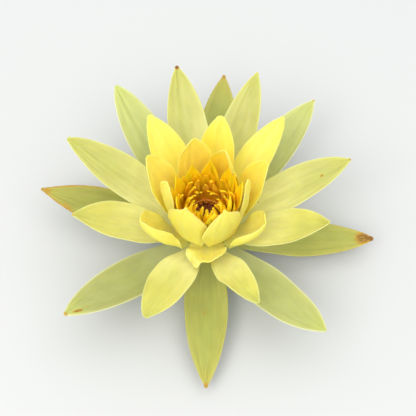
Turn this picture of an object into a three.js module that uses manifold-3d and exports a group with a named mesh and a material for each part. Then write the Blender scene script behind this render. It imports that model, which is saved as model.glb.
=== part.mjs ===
// Yellow water lily bloom, picked with a short stub of stalk and standing on the cut.
// Millimetres, +Z up. The origin is the centre of the stalk's cut face.
// Azimuths and slopes are in degrees; azimuths run counter-clockwise from +X as seen from above.
import * as THREE from "three";
import { mergeVertices } from "three/addons/utils/BufferGeometryUtils.js";
import Module from "manifold-3d";

const wasm = await Module();
wasm.setup();

const deg = Math.PI / 180;
const SEAT_GAP = 0.3; // between a piece's foot and what carries it
const TIP_THICK = 0.6; // every blade thins to this towards its tip
const MIDRIB_STEPS = 48; // steps that a midrib is walked in
const PETAL_GRID = { rows: 10, columns: 6 };
const STAMEN_GRID = { rows: 4, columns: 2 };

// The receptacle: a stub of stalk that swells into the ovary, on whose wall everything grows.
const stalk = {
  radius: 5.5,
  height: 7,
  canals: 4,
  canalRadius: 1.1,
  canalRing: 2.6,
  canalDepth: 5,
  canalSides: 12,
};
const ovary = { radius: 10, height: 15, rimRadius: 9, widestAt: 0.62, sides: 28, steps: 8 };
const ovaryTop = stalk.height + ovary.height;

// Each whorl's usual blade. seat is the height of its foot above the ovary's lower end. rise is
// the midrib's slope past the knee, half way and at the tip. cup is how far each half turns up
// across its width. claw is the foot's width as a part of the widest. A smaller point is blunter.
const whorls = {
  sepal: { seat: 1.6, width: 16.5, thick: 1.3, rise: [0, 0, 2], cup: 20, claw: 0.55, point: 0.95 },
  outer_petal: { seat: 4, width: 17, thick: 1.1, rise: [9, 17, 21], cup: 22, claw: 0.48, point: 0.9 },
  long_petal: { seat: 6.3, width: 17, thick: 1, rise: [36, 30, 26], cup: 26, claw: 0.4, point: 0.9 },
  cup_petal: { seat: 9.6, width: 16, thick: 0.9, rise: [50, 45, 40], cup: 34, claw: 0.46, point: 0.85 },
  inner_petal: { seat: 12.4, width: 15.5, thick: 0.9, rise: [66, 86, 104], cup: 36, claw: 0.48, point: 0.7 },
};
const usualBlade = { sway: 0, roll: 0, hook: 0, knee: 0.16, seatSlope: 8, widest: 0.48 };
const boatRise = [28, 60, 84]; // the two boat-shaped petals at the sides
const frontPetal = { seat: 14.3, claw: 0.46, widest: 0.5, point: 1.5 }; // the two broad ones in front
const hollowPetal = { claw: 0.8, widest: 0.38, point: 1.15, rise: [24, 42, 66] }; // the short one below them

// Every sepal and petal, each with what sets it apart from its whorl. sway turns the heading
// sideways towards the tip, roll tips the blade about its midrib, hook bends its tip upwards.
const blades = [
  { name: "sepal_1", azimuth: 358, length: 57.5, width: 15.5, point: 0.8, rise: [-7, 0, 11] },
  { name: "sepal_2", azimuth: 84, length: 63, rise: [6, 9, 12] },
  { name: "sepal_3", azimuth: 166, length: 59.5, rise: [4, 8, 12] },
  { name: "sepal_4", azimuth: 270, length: 55, rise: [1, -4, -7], widest: 0.4 },
  { name: "outer_petal_1", azimuth: 50, length: 60 },
  { name: "outer_petal_2", azimuth: 122, length: 61.5, point: 0.75 },
  { name: "outer_petal_3", azimuth: 220, length: 60, point: 0.8 },
  { name: "outer_petal_4", azimuth: 309, length: 58.5, sway: 8, point: 0.75 },
  { name: "long_petal_1", azimuth: 17, length: 53, rise: [34, 28, 24] },
  { name: "long_petal_2", azimuth: 69.5, length: 55.5, width: 15, rise: [39, 33, 29] },
  { name: "long_petal_3", azimuth: 101.5, length: 54.8, width: 16, seat: 8.1, rise: [37, 31, 27] },
  { name: "long_petal_4", azimuth: 155, length: 55, point: 0.8 },
  { name: "long_petal_5", azimuth: 189.5, length: 46, width: 17.5, seat: 8.5, rise: [30, 30.5, 36] },
  { name: "long_petal_6", azimuth: 245.5, length: 46, width: 16, seat: 8, point: 0.7, rise: [31, 26, 21] },
  { name: "long_petal_7", azimuth: 290.5, length: 41, width: 12.6, seat: 8, sway: 14, point: 0.8 },
  { name: "long_petal_8", azimuth: 346, length: 43.5, seat: 8.4, rise: [28, 33, 39.5], hook: 8 },
  { name: "cup_petal_1", azimuth: 46, length: 43, width: 15, seat: 8.8, sway: 8, rise: [48, 40, 34] },
  { name: "cup_petal_2", azimuth: 79.5, length: 36, width: 15, seat: 10.3, point: 0.7, rise: [65, 57, 51] },
  { name: "cup_petal_3", azimuth: 124, length: 40, rise: [54, 46, 40] },
  { name: "cup_petal_4", azimuth: 207, length: 30, width: 20, seat: 9.9, cup: 50, roll: 6, rise: boatRise },
  { name: "cup_petal_5", azimuth: 271, length: 19.5, width: 16, seat: 12, cup: 44, ...hollowPetal },
  { name: "cup_petal_6", azimuth: 333, length: 26, width: 20, seat: 9.9, cup: 50, roll: -6, rise: boatRise },
  { name: "inner_petal_1", azimuth: 24.5, length: 32, width: 14.5, seat: 10.9, rise: [56, 66, 73] },
  { name: "inner_petal_2", azimuth: 61, length: 31.5, width: 14.5, seat: 13.6, rise: [69, 86, 100] },
  { name: "inner_petal_3", azimuth: 105, length: 35, width: 15, rise: [63, 83, 97] },
  { name: "inner_petal_4", azimuth: 152, length: 33.5, width: 15, seat: 11.1, rise: [60, 67, 70], hook: 10 },
  {
    name: "inner_petal_5", azimuth: 179, length: 28, width: 12.8, seat: 13.1, cup: 18, roll: 28,
    rise: [64, 84, 106],
  },
  { name: "inner_petal_6", azimuth: 238, length: 30.5, width: 18.4, cup: 46, roll: 9, ...frontPetal },
  { name: "inner_petal_7", azimuth: 299.5, length: 29, width: 18, cup: 30, roll: 2, ...frontPetal },
  {
    name: "inner_petal_8", azimuth: 2.5, length: 28.5, width: 12.6, seat: 13.5, cup: 20, roll: -20,
    rise: [61, 84, 102],
  },
];

// The stamens stand in rings on a collar round the ovary's rim: broad and petal-like outside,
// narrow and curled in over the stigma inside. start is the radius of a ring's feet, and turn is
// how far those at the sides turn their inner faces to the front.
const collar = { inner: 6.1, height: 2.4, bevel: 1, sides: 28 };
const stamenRings = [
  { count: 9, start: 8, length: 25.5, width: 7.6, rise: [70.5, 84, 96], cup: 38, point: 1.7 },
  { count: 11, start: 7.6, length: 18.5, width: 5, rise: [68, 84, 104], cup: 34, point: 1.5 },
  { count: 12, start: 7.1, length: 15, width: 2.6, rise: [76, 90, 118], cup: 14, point: 0.7 },
  { count: 11, start: 6.7, length: 12.5, width: 2.2, rise: [82, 98, 136], cup: 8, point: 0.5 },
];
const usualStamen = { seatSlope: 90, thick: 0.8, claw: 0.7, sunk: 1.6 };
const stamenScatter = { azimuth: 5, length: 0.1, rise: 4, sway: 14, turn: 16 };

// The stigma: a shallow rayed dish with a knob in the middle and a curled horn at each ray's end.
// The dish's slope eases at bend, a share of both its radius and its depth. sunk is how deep a
// stamen's foot stands in the collar, or a horn's in the dish.
const stigma = { radius: 5.6, height: 1.6, dip: 0.7, bend: 0.7, rays: 12, rayWidth: 0.8, rayHeight: 1.3 };
const knob = { radius: 1.1, topRadius: 0.9, shoulder: 0.3, height: 0.6 };
const hornShape = { width: 1.5, rise: [70, 110, 150], cup: 8, claw: 0.9, point: 0.5 };
const horn = { start: 4.9, length: 5, sunk: 0.6, ...hornShape };

// Numbers from 0 to 1 that are the same in every run (mulberry32).
function seededRandom(seed) {
  let state = seed;
  return () => {
    state = (state + 0x6d2b79f5) | 0;
    let mixed = Math.imul(state ^ (state >>> 15), 1 | state);
    mixed = (mixed + Math.imul(mixed ^ (mixed >>> 7), 61 | mixed)) ^ mixed;
    return ((mixed ^ (mixed >>> 14)) >>> 0) / 4294967296;
  };
}

// The ovary's radius at a height above its lower end: it bulges quickly and closes a little.
function ovaryRadius(height) {
  const share = THREE.MathUtils.clamp(height / ovary.height, 0, 1);
  const swell = Math.sin(Math.min(1, share / ovary.widestAt) * 90 * deg);
  const closing = THREE.MathUtils.smoothstep(share, ovary.widestAt, 1);
  return stalk.radius + (ovary.radius - stalk.radius) * swell - (ovary.radius - ovary.rimRadius) * closing;
}

// A blade's width at a share of its length, as a part of its widest.
function outline(share, blade) {
  if (share < blade.widest) {
    const opening = Math.sin((share / blade.widest) * 90 * deg) ** 1.3;
    return blade.claw + (1 - blade.claw) * opening;
  }
  const closing = (share - blade.widest) / (1 - blade.widest);
  return (1 - closing ** 2.2) ** blade.point;
}

// The slope of the midrib: out of the wall, round the knee, then along the three rises.
function slopeAt(share, blade) {
  const [low, middle, high] = blade.rise;
  const bend = (1 - share) ** 2 * low + 2 * share * (1 - share) * middle + share ** 2 * high;
  const knee = Math.max(0, 1 - share / blade.knee) ** 2;
  const hook = THREE.MathUtils.smoothstep(share, 0.78, 1) * blade.hook;
  return bend * (1 - knee) + Math.min(bend, blade.seatSlope) * knee + hook;
}

// Walks the midrib and gives, at each step, the place and two of the blade's directions.
function midrib(blade) {
  const place = new THREE.Vector3(
    blade.start * Math.cos(blade.azimuth * deg),
    blade.start * Math.sin(blade.azimuth * deg),
    blade.footHeight,
  );
  const stations = [];
  for (let i = 0; i <= MIDRIB_STEPS; i++) {
    const share = i / MIDRIB_STEPS;
    const slope = slopeAt(share, blade) * deg;
    const heading = (blade.azimuth + blade.sway * share ** 2) * deg;
    const along = new THREE.Vector3(
      Math.cos(slope) * Math.cos(heading),
      Math.cos(slope) * Math.sin(heading),
      Math.sin(slope),
    );
    const roll = blade.roll * THREE.MathUtils.smoothstep(share, 0, 0.6) * deg;
    const side = new THREE.Vector3(-Math.sin(heading), Math.cos(heading), 0).applyAxisAngle(along, roll);
    stations.push({ place: place.clone(), side, up: along.clone().cross(side) });
    place.addScaledVector(along, blade.length / MIDRIB_STEPS);
  }
  return stations;
}

function stationAt(stations, share) {
  const at = share * MIDRIB_STEPS;
  const before = Math.min(MIDRIB_STEPS - 1, Math.floor(at));
  const [a, b] = [stations[before], stations[before + 1]];
  return {
    place: a.place.clone().lerp(b.place, at - before),
    side: a.side.clone().lerp(b.side, at - before).normalize(),
    up: a.up.clone().lerp(b.up, at - before).normalize(),
  };
}

// The blade's vertices: in each row the upper face's and then the lower face's, and last the
// two of the tip. Across its width a row is an arc that turns up by the cup on each half.
function bladePoints(blade, grid) {
  const stations = midrib(blade);
  const points = [];
  for (let row = 0; row < grid.rows; row++) {
    const share = (row / grid.rows) ** 1.1;
    const { place, side, up } = stationAt(stations, share);
    const half = (blade.width / 2) * outline(share, blade);
    const turn = Math.max(0.02, blade.cup * deg * THREE.MathUtils.smoothstep(share, 0, 0.35));
    const thick = THREE.MathUtils.lerp(blade.thick, TIP_THICK, Math.min(1, share * 1.2));
    for (const face of [1, -1]) {
      for (let column = 0; column <= grid.columns; column++) {
        const angle = turn * ((2 * column) / grid.columns - 1);
        const radius = half / turn - (face * thick) / 2;
        const point = place.clone().addScaledVector(side, radius * Math.sin(angle));
        points.push(point.addScaledVector(up, half / turn - radius * Math.cos(angle)));
      }
    }
  }
  const tip = stationAt(stations, 1);
  for (const face of [1, -1]) {
    points.push(tip.place.clone().addScaledVector(tip.up, (face * TIP_THICK) / 2));
  }
  return points;
}

// One closed blade. Both faces are split alike, and a rim, a foot and a tip close them.
function bladeGeometry(blade, grid) {
  const points = bladePoints(blade, grid);
  const faces = [];
  const upper = (row, column) => row * 2 * (grid.columns + 1) + column;
  const lower = (row, column) => upper(row, column) + grid.columns + 1;
  const quad = (a, b, c, d) => faces.push(a, b, c, a, c, d);
  const last = grid.rows - 1;
  const [upperTip, lowerTip] = [points.length - 2, points.length - 1];
  for (let row = 0; row < last; row++) {
    for (let column = 0; column < grid.columns; column++) {
      quad(upper(row, column), upper(row + 1, column), upper(row + 1, column + 1), upper(row, column + 1));
      faces.push(lower(row, column), lower(row + 1, column + 1), lower(row + 1, column));
      faces.push(lower(row, column), lower(row, column + 1), lower(row + 1, column + 1));
    }
    quad(lower(row, 0), lower(row + 1, 0), upper(row + 1, 0), upper(row, 0));
    const [near, far] = [[row, grid.columns], [row + 1, grid.columns]];
    quad(upper(...near), upper(...far), lower(...far), lower(...near));
  }
  for (let column = 0; column < grid.columns; column++) {
    faces.push(upper(last, column), upperTip, upper(last, column + 1));
    faces.push(lower(last, column + 1), lowerTip, lower(last, column));
    quad(lower(0, column), upper(0, column), upper(0, column + 1), lower(0, column + 1));
  }
  quad(lower(last, 0), lowerTip, upperTip, upper(last, 0));
  quad(upper(last, grid.columns), upperTip, lowerTip, lower(last, grid.columns));

  const geometry = new THREE.BufferGeometry();
  const numbers = points.flatMap((point) => point.toArray());
  geometry.setAttribute("position", new THREE.Float32BufferAttribute(numbers, 3));
  geometry.setIndex(faces);
  return geometry;
}

function solidOf(geometry) {
  const bare = geometry.clone();
  bare.deleteAttribute("normal");
  bare.deleteAttribute("uv");
  const merged = mergeVertices(bare, 1e-4);
  return new wasm.Manifold(
    new wasm.Mesh({
      numProp: 3,
      vertProperties: new Float32Array(merged.attributes.position.array),
      triVerts: new Uint32Array(merged.index.array),
    }),
  );
}

function geometryOf(solid) {
  const mesh = solid.getMesh();
  const geometry = new THREE.BufferGeometry();
  geometry.setAttribute("position", new THREE.BufferAttribute(mesh.vertProperties, 3));
  geometry.setIndex(new THREE.BufferAttribute(mesh.triVerts, 1));
  return geometry.toNonIndexed();
}

function lathe(profile, sides) {
  const outlinePoints = profile.map(([radius, height]) => new THREE.Vector2(radius, height));
  return new THREE.LatheGeometry(outlinePoints, sides).rotateX(90 * deg);
}

const bloom = new THREE.Group();

function add(name, geometry, colour, roughness) {
  geometry.computeVertexNormals();
  const material = new THREE.MeshStandardMaterial({ color: colour, roughness, metalness: 0 });
  const mesh = new THREE.Mesh(geometry, material);
  mesh.name = name;
  bloom.add(mesh);
}

// Sepals and petals: each foot stands SEAT_GAP off the ovary's wall.
const colours = {
  sepal: 0xc3c672,
  outer_petal: 0xdfe08a,
  long_petal: 0xe8e57c,
  cup_petal: 0xf6e66a,
  inner_petal: 0xf8e04a,
};
for (const given of blades) {
  const whorl = given.name.replace(/_\d+$/, "");
  const blade = { ...usualBlade, ...whorls[whorl], ...given };
  const half = blade.thick / 2;
  const wall = Math.max(ovaryRadius(blade.seat - half), ovaryRadius(blade.seat + half));
  blade.start = wall + SEAT_GAP + half * Math.sin(blade.seatSlope * deg);
  blade.footHeight = stalk.height + blade.seat;
  add(blade.name, bladeGeometry(blade, PETAL_GRID), colours[whorl], 0.5);
}

// Stalk and ovary grow as one body. The cut face shows the stalk's air canals.
function receptacle() {
  const profile = [[0, 0], [stalk.radius, 0]];
  for (let i = 0; i <= ovary.steps; i++) {
    const height = (ovary.height * i) / ovary.steps;
    profile.push([ovaryRadius(height), stalk.height + height]);
  }
  profile.push([0, ovaryTop]);
  let solid = solidOf(lathe(profile, ovary.sides));
  for (let i = 0; i < stalk.canals; i++) {
    const angle = ((i + 0.5) * 360 * deg) / stalk.canals;
    const { canalRadius, canalDepth } = stalk;
    const canal = new THREE.CylinderGeometry(canalRadius, canalRadius, 2 * canalDepth, stalk.canalSides)
      .rotateX(90 * deg)
      .translate(stalk.canalRing * Math.cos(angle), stalk.canalRing * Math.sin(angle), 0);
    solid = solid.subtract(solidOf(canal));
  }
  return geometryOf(solid);
}
add("receptacle", receptacle(), 0x8f9a4a, 0.6);

// The stamens and the collar that they grow from are one body.
function stamens() {
  const random = seededRandom(7);
  const spread = (range) => (2 * random() - 1) * range;
  const foot = ovaryTop + SEAT_GAP;
  let solid = solidOf(
    lathe(
      [
        [collar.inner, foot],
        [ovary.rimRadius, foot],
        [ovary.rimRadius, foot + collar.height - collar.bevel],
        [ovary.rimRadius - collar.bevel, foot + collar.height],
        [collar.inner, foot + collar.height],
        [collar.inner, foot],
      ],
      collar.sides,
    ),
  );
  stamenRings.forEach((ring, level) => {
    for (let i = 0; i < ring.count; i++) {
      const lean = spread(stamenScatter.rise);
      const azimuth = ((i + level / 2) * 360) / ring.count + spread(stamenScatter.azimuth);
      const blade = {
        ...usualBlade,
        ...usualStamen,
        ...ring,
        azimuth,
        length: ring.length * (1 + spread(stamenScatter.length)),
        rise: ring.rise.map((slope) => slope + lean),
        sway: spread(stamenScatter.sway),
        roll: stamenScatter.turn * Math.cos(azimuth * deg),
        footHeight: foot + collar.height - usualStamen.sunk,
      };
      solid = solid.add(solidOf(bladeGeometry(blade, STAMEN_GRID)));
    }
  });
  return geometryOf(solid);
}
add("stamens", stamens(), 0xf2ae0a, 0.55);

function stigmaDisc() {
  const foot = ovaryTop + SEAT_GAP;
  const rim = foot + stigma.height;
  const dish = [
    [0, foot],
    [stigma.radius, foot],
    [stigma.radius, rim],
    [stigma.radius * stigma.bend, rim - stigma.dip * stigma.bend],
    [knob.radius, rim - stigma.dip],
    [knob.topRadius, rim + knob.shoulder],
    [0, rim + knob.height],
  ];
  let solid = solidOf(lathe(dish, 2 * stigma.rays));
  for (let i = 0; i < stigma.rays; i++) {
    const azimuth = (i * 360) / stigma.rays;
    const ray = new THREE.BoxGeometry(horn.start, stigma.rayWidth, stigma.rayHeight)
      .translate((horn.start + knob.radius) / 2, 0, rim - stigma.dip / 2)
      .rotateZ(azimuth * deg);
    const blade = { ...usualBlade, ...usualStamen, ...horn, azimuth, footHeight: rim - horn.sunk };
    solid = solid.add(solidOf(ray)).add(solidOf(bladeGeometry(blade, STAMEN_GRID)));
  }
  return geometryOf(solid);
}
add("stigma_disc", stigmaDisc(), 0x5a2410, 0.6);

export default bloom;
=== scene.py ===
import math
import random

import bmesh
import bpy
import numpy as np
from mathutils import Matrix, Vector


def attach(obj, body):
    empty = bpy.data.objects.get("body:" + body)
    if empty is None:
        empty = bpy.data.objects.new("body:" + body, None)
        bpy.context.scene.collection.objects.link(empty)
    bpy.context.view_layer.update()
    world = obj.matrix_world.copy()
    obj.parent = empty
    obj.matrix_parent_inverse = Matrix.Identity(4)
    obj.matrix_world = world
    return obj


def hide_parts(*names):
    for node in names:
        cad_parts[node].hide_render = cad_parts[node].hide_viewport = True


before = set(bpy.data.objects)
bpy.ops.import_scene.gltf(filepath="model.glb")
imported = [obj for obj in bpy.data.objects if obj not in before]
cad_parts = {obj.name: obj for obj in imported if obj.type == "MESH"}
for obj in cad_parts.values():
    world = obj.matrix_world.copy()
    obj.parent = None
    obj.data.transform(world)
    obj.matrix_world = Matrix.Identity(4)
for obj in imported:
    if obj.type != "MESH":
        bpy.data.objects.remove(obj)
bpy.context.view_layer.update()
mm = 0.001
rightAngle = math.pi / 2
scene = bpy.context.scene
print("frame loaded:", len(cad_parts), "nodes")

cameraView = {"target": (0.7, 9.6, 13), "distance": 500, "elevation": 60, "lens": 111, "sensor": 36}


def placed(name, data):
    thing = bpy.data.objects.new(name, data)
    scene.collection.objects.link(thing)
    return thing


def aim(thing, direction):
    thing.rotation_mode = "QUATERNION"
    thing.rotation_quaternion = direction.to_track_quat("-Z", "Y")


def makeCamera(view):
    lens = bpy.data.cameras.new("camera")
    lens.lens = view["lens"]
    lens.sensor_width = view["sensor"]
    lens.clip_start = 0.01
    camera = placed("camera", lens)
    rise = math.radians(view["elevation"])
    back = Vector((0, -math.cos(rise), math.sin(rise)))
    camera.location = (Vector(view["target"]) + back * view["distance"]) * mm
    aim(camera, -back)
    scene.camera = camera


# places and widths in metres, power in watts
studioLights = {
    "overhead": {"place": (0, -0.2, 0.85), "width": 1.4, "power": 6.9, "colour": (1.0, 0.99, 0.96)},
    "key": {"place": (-0.36, -0.42, 0.72), "width": 0.4, "power": 2.0, "colour": (1.0, 0.98, 0.93)},
    "behind": {"place": (0.2, 0.75, 0.6), "width": 0.6, "power": 0.6, "colour": (0.97, 0.99, 1.0)},
}
lightAim = Vector((0, 0, 0.02))


def makeLight(name, values):
    lamp = bpy.data.lights.new(name, "AREA")
    lamp.size = values["width"]
    lamp.energy = values["power"]
    lamp.color = values["colour"]
    holder = placed(name, lamp)
    holder.location = values["place"]
    aim(holder, lightAim - holder.location)


makeCamera(cameraView)
for lightName, lightValues in studioLights.items():
    makeLight(lightName, lightValues)
scene.view_settings.view_transform = "Standard"
print("camera and lights ready")


# Each helper wires sockets or plain values into a new shader node and gives its output.
def addNode(tree, kind, inputs, **settings):
    node = tree.nodes.new("ShaderNode" + kind)
    for name, value in settings.items():
        setattr(node, name, value)
    for name, value in inputs.items():
        if isinstance(value, bpy.types.NodeSocket):
            tree.links.new(value, node.inputs[name])
        else:
            node.inputs[name].default_value = value
    return node.outputs


def placeGroup(tree, group, inputs):
    return addNode(tree, "Group", inputs, node_tree=group)


def maths(tree, operation, a, b=0.0):
    return addNode(tree, "Math", {0: a, 1: b}, operation=operation)[0]


def times(tree, a, b):
    return maths(tree, "MULTIPLY", a, b)


def mixColours(tree, share, a, b):
    return addNode(tree, "Mix", {0: share, 6: a, 7: b}, data_type="RGBA")[2]


def fade(tree, value, low, high, toLow=0.0, toHigh=1.0):
    inputs = {"Value": value, "From Min": low, "From Max": high, "To Min": toLow, "To Max": toHigh}
    return addNode(tree, "MapRange", inputs, interpolation_type="SMOOTHSTEP")[0]


def stretched(tree, vector, scale):
    return addNode(tree, "VectorMath", {0: vector, 1: scale}, operation="MULTIPLY")[0]


def cloud(tree, vector, scale, detail=2.0, roughness=0.5, distortion=0.0):
    inputs = {"Vector": stretched(tree, vector, scale), "Scale": 1.0, "Detail": detail}
    inputs = {**inputs, "Roughness": roughness, "Distortion": distortion}
    return addNode(tree, "TexNoise", inputs)[0]


def mark(tree, name, output="Fac"):
    return addNode(tree, "Attribute", {}, attribute_name=name)[output]


def paint(code):
    parts = [int(code[i:i + 2], 16) / 255 for i in (0, 2, 4)]
    return tuple(c / 12.92 if c <= 0.04045 else ((c + 0.055) / 1.055) ** 2.4 for c in parts) + (1.0,)


def newGroup(name, inputs, outputs):
    kinds = {"value": "NodeSocketFloat", "colour": "NodeSocketColor", "vector": "NodeSocketVector"}
    group = bpy.data.node_groups.new(name, "ShaderNodeTree")
    for label, (kind, value) in inputs.items():
        group.interface.new_socket(label, in_out="INPUT", socket_type=kinds[kind]).default_value = value
    for label, kind in outputs.items():
        group.interface.new_socket(label, in_out="OUTPUT", socket_type=kinds[kind])
    return group, group.nodes.new("NodeGroupInput").outputs, group.nodes.new("NodeGroupOutput").inputs


anyPlace = ("vector", (0, 0, 0))
anyColour = ("colour", (1, 1, 1, 1))

# Fine lengthwise lines. Lay is a place on the piece in millimetres: across, along, and a
# number of the piece's own.
veinRule = {
    "waverScale": (0.35, 0.05, 1.7), "streakScale": (1.1, 0.05, 3.1), "lineWidth": 0.24, "faintest": 0.25,
    "lineDepth": 0.45,
}


def makeVeins(rule):
    group, given, result = newGroup(
        "lengthwiseVeins",
        {"Lay": anyPlace, "Spacing": ("value", 0.8), "Waver": ("value", 0.6)},
        {"Lines": "value", "Streaks": "value", "Height": "value"},
    )
    across = addNode(group, "SeparateXYZ", {0: given["Lay"]})[0]
    slow = cloud(group, given["Lay"], rule["waverScale"])
    steps = maths(group, "DIVIDE", across, given["Spacing"])
    wandering = maths(group, "ADD", steps, times(group, slow, given["Waver"]))
    line = fade(group, maths(group, "PINGPONG", wandering, 0.5), 0.0, rule["lineWidth"], 1.0, 0.0)
    streaks = cloud(group, given["Lay"], rule["streakScale"], detail=3.0, roughness=0.6)
    broken = times(group, line, fade(group, streaks, 0.34, 0.62, rule["faintest"], 1.0))
    sunk = times(group, broken, rule["lineDepth"])
    group.links.new(broken, result["Lines"])
    group.links.new(fade(group, streaks, 0.3, 0.7), result["Streaks"])
    group.links.new(maths(group, "SUBTRACT", streaks, sunk), result["Height"])
    return group


# The colour of a living blade from its foot to its tip, greener along the middle, pale at the rim. The paler
# foot is partly painted light against the shade deep in the cup, the tone toward Deep is painted light and
# shade, and the pale rim is partly a painted highlight.
tintRule = {
    "footFrom": 0.08, "heartScale": (0.13, 0.045, 2.3), "heartWidth": 0.8, "heartStart": (0.12, 0.45),
    "tipFrom": 0.8, "tipShare": 0.85, "cloudScale": (0.28, 0.14, 5.1), "darkest": 0.93, "lightest": 1.05,
    "backShare": 0.8,
}
tintColours = ("Foot", "Blade", "Deep", "Heart", "Tip", "Edge", "Back")


def makeTint(rule):
    values = {
        "Along": 0, "Across": 0, "Rim": 0, "Outside": 0, "Tone": 0, "Heart Share": 0.6, "Foot Reach": 0.45,
        "Rim And Highlight Share": 0.3,
    }
    inputs = {"Lay": anyPlace, **{name: ("value", value) for name, value in values.items()}}
    inputs = {**inputs, **{name: anyColour for name in tintColours}}
    group, given, result = newGroup("petalTint", inputs, {"Colour": "colour"})
    # Blade and Deep are lighter and darker copies of one colour. The per-blade tone mixes them as painted
    # light and shade for how each blade sits under the lamps, plus a little random tone.
    body = mixColours(group, given["Tone"], given["Blade"], given["Deep"])
    # The Foot colour is paler than the blade partly as the blade's own paler base and partly as painted light
    # that lifts the shade at the bottom of the cup.
    grown = fade(group, given["Along"], rule["footFrom"], given["Foot Reach"])
    colour = mixColours(group, grown, given["Foot"], body)
    wide = cloud(group, given["Lay"], rule["heartScale"], distortion=0.6)
    middle = fade(group, maths(group, "ABSOLUTE", given["Across"]), 0.05, rule["heartWidth"], 1.0, 0.0)
    inMiddle = times(group, middle, fade(group, given["Along"], *rule["heartStart"]))
    heart = times(group, inMiddle, fade(group, wide, 0.34, 0.66))
    colour = mixColours(group, times(group, heart, given["Heart Share"]), colour, given["Heart"])
    nearTip = fade(group, given["Along"], rule["tipFrom"], 1.0, 0.0, rule["tipShare"])
    colour = mixColours(group, nearTip, colour, given["Tip"])
    cloudy = cloud(group, given["Lay"], rule["cloudScale"], detail=3.0)
    light = fade(group, cloudy, 0.25, 0.75, rule["darkest"], rule["lightest"])
    lit = addNode(group, "HueSaturation", {"Value": light, "Color": colour})[0]
    behind = times(group, given["Outside"], rule["backShare"])
    colour = mixColours(group, behind, lit, given["Back"])
    # The pale Edge along the rim is partly the margin's own paler colour and partly a painted highlight along
    # it.
    rim = times(group, given["Rim"], given["Rim And Highlight Share"])
    group.links.new(mixColours(group, rim, colour, given["Edge"]), result["Colour"])
    return group


# Dry, browned tissue: ochre where it starts, brown where it is oldest, with a ragged outline.
agedRule = {
    "raggedScale": (1.4, 0.9, 1.9), "raggedness": 1.1, "ochreShare": 0.85, "ochreFrom": (0.22, 0.62),
    "brownFrom": (0.62, 1.0),
}


def makeAged(rule):
    group, given, result = newGroup(
        "agedTissue",
        {
            "Lay": anyPlace, "Stain": ("value", 0), "Colour": anyColour, "Ochre": anyColour,
            "Brown": anyColour,
        },
        {"Colour": "colour", "Mask": "value"},
    )
    ragged = cloud(group, given["Lay"], rule["raggedScale"], detail=4.0, roughness=0.65)
    swing = times(group, maths(group, "SUBTRACT", ragged, 0.5), rule["raggedness"])
    reach = maths(group, "ADD", given["Stain"], swing)
    begun = fade(group, given["Stain"], 0.02, 0.15)
    shown = times(group, fade(group, reach, *rule["ochreFrom"]), begun)
    advanced = fade(group, given["Stain"], 0.1, 0.4)
    old = times(group, fade(group, reach, *rule["brownFrom"]), advanced)
    dried = times(group, shown, rule["ochreShare"])
    colour = mixColours(group, dried, given["Colour"], given["Ochre"])
    group.links.new(mixColours(group, old, colour, given["Brown"]), result["Colour"])
    group.links.new(shown, result["Mask"])
    return group


# The waxy skin's cells: a fine height and a little difference in gloss.
skinRule = {"cellLength": 0.4, "patchScale": (0.5, 0.25, 4.3)}


def makeSkin(rule):
    group, given, result = newGroup(
        "waxySkin",
        {"Lay": anyPlace, "Cells": ("value", 7.0), "Gloss": ("value", 0.45), "Spread": ("value", 0.08)},
        {"Height": "value", "Roughness": "value"},
    )
    along = times(group, given["Cells"], rule["cellLength"])
    scale = addNode(group, "CombineXYZ", {0: given["Cells"], 1: along, 2: 1.0})[0]
    place = stretched(group, given["Lay"], scale)
    cells = addNode(group, "TexVoronoi", {"Vector": place, "Scale": 1.0})
    patches = cloud(group, given["Lay"], rule["patchScale"], detail=3.0)
    gloss = fade(group, patches, 0.3, 0.7, -1.0, 1.0)
    rough = maths(group, "ADD", given["Gloss"], times(group, gloss, given["Spread"]))
    group.links.new(cells["Distance"], result["Height"])
    group.links.new(rough, result["Roughness"])
    return group


veins, petalTint = makeVeins(veinRule), makeTint(tintRule)
agedTissue, waxySkin = makeAged(agedRule), makeSkin(skinRule)


def newMaterial(name):
    material = bpy.data.materials.new(name)
    material.use_nodes = True
    return material, material.node_tree, material.node_tree.nodes["Principled BSDF"].inputs


def waxy(tree, looks, lay):
    return placeGroup(tree, waxySkin, {"Lay": lay, "Cells": looks["cells"], "Gloss": looks["gloss"]})


# Gives the shader a finished colour, gloss and height, and sets how far light sinks in.
def dressShader(tree, shader, colour, roughness, height, looks, invert=False):
    strength = looks.get("bumpStrength", 0.8)
    inputs = {"Height": height, "Distance": looks["bump"] * mm, "Strength": strength}
    bump = addNode(tree, "Bump", inputs, invert=invert)
    tree.links.new(colour, shader["Base Color"])
    tree.links.new(roughness, shader["Roughness"])
    tree.links.new(bump[0], shader["Normal"])
    shader["Subsurface Weight"].default_value = looks["subsurface"]
    shader["Subsurface Radius"].default_value = looks["radius"]
    shader["Subsurface Scale"].default_value = looks["depth"] * mm


# Each foot colour is paler than its blade, partly the real paler base and partly painted light against the
# shade deep in the cup. Blade and deep are mixed per blade as painted light and shade. Edge is a pale margin
# that is partly a painted highlight.
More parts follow.
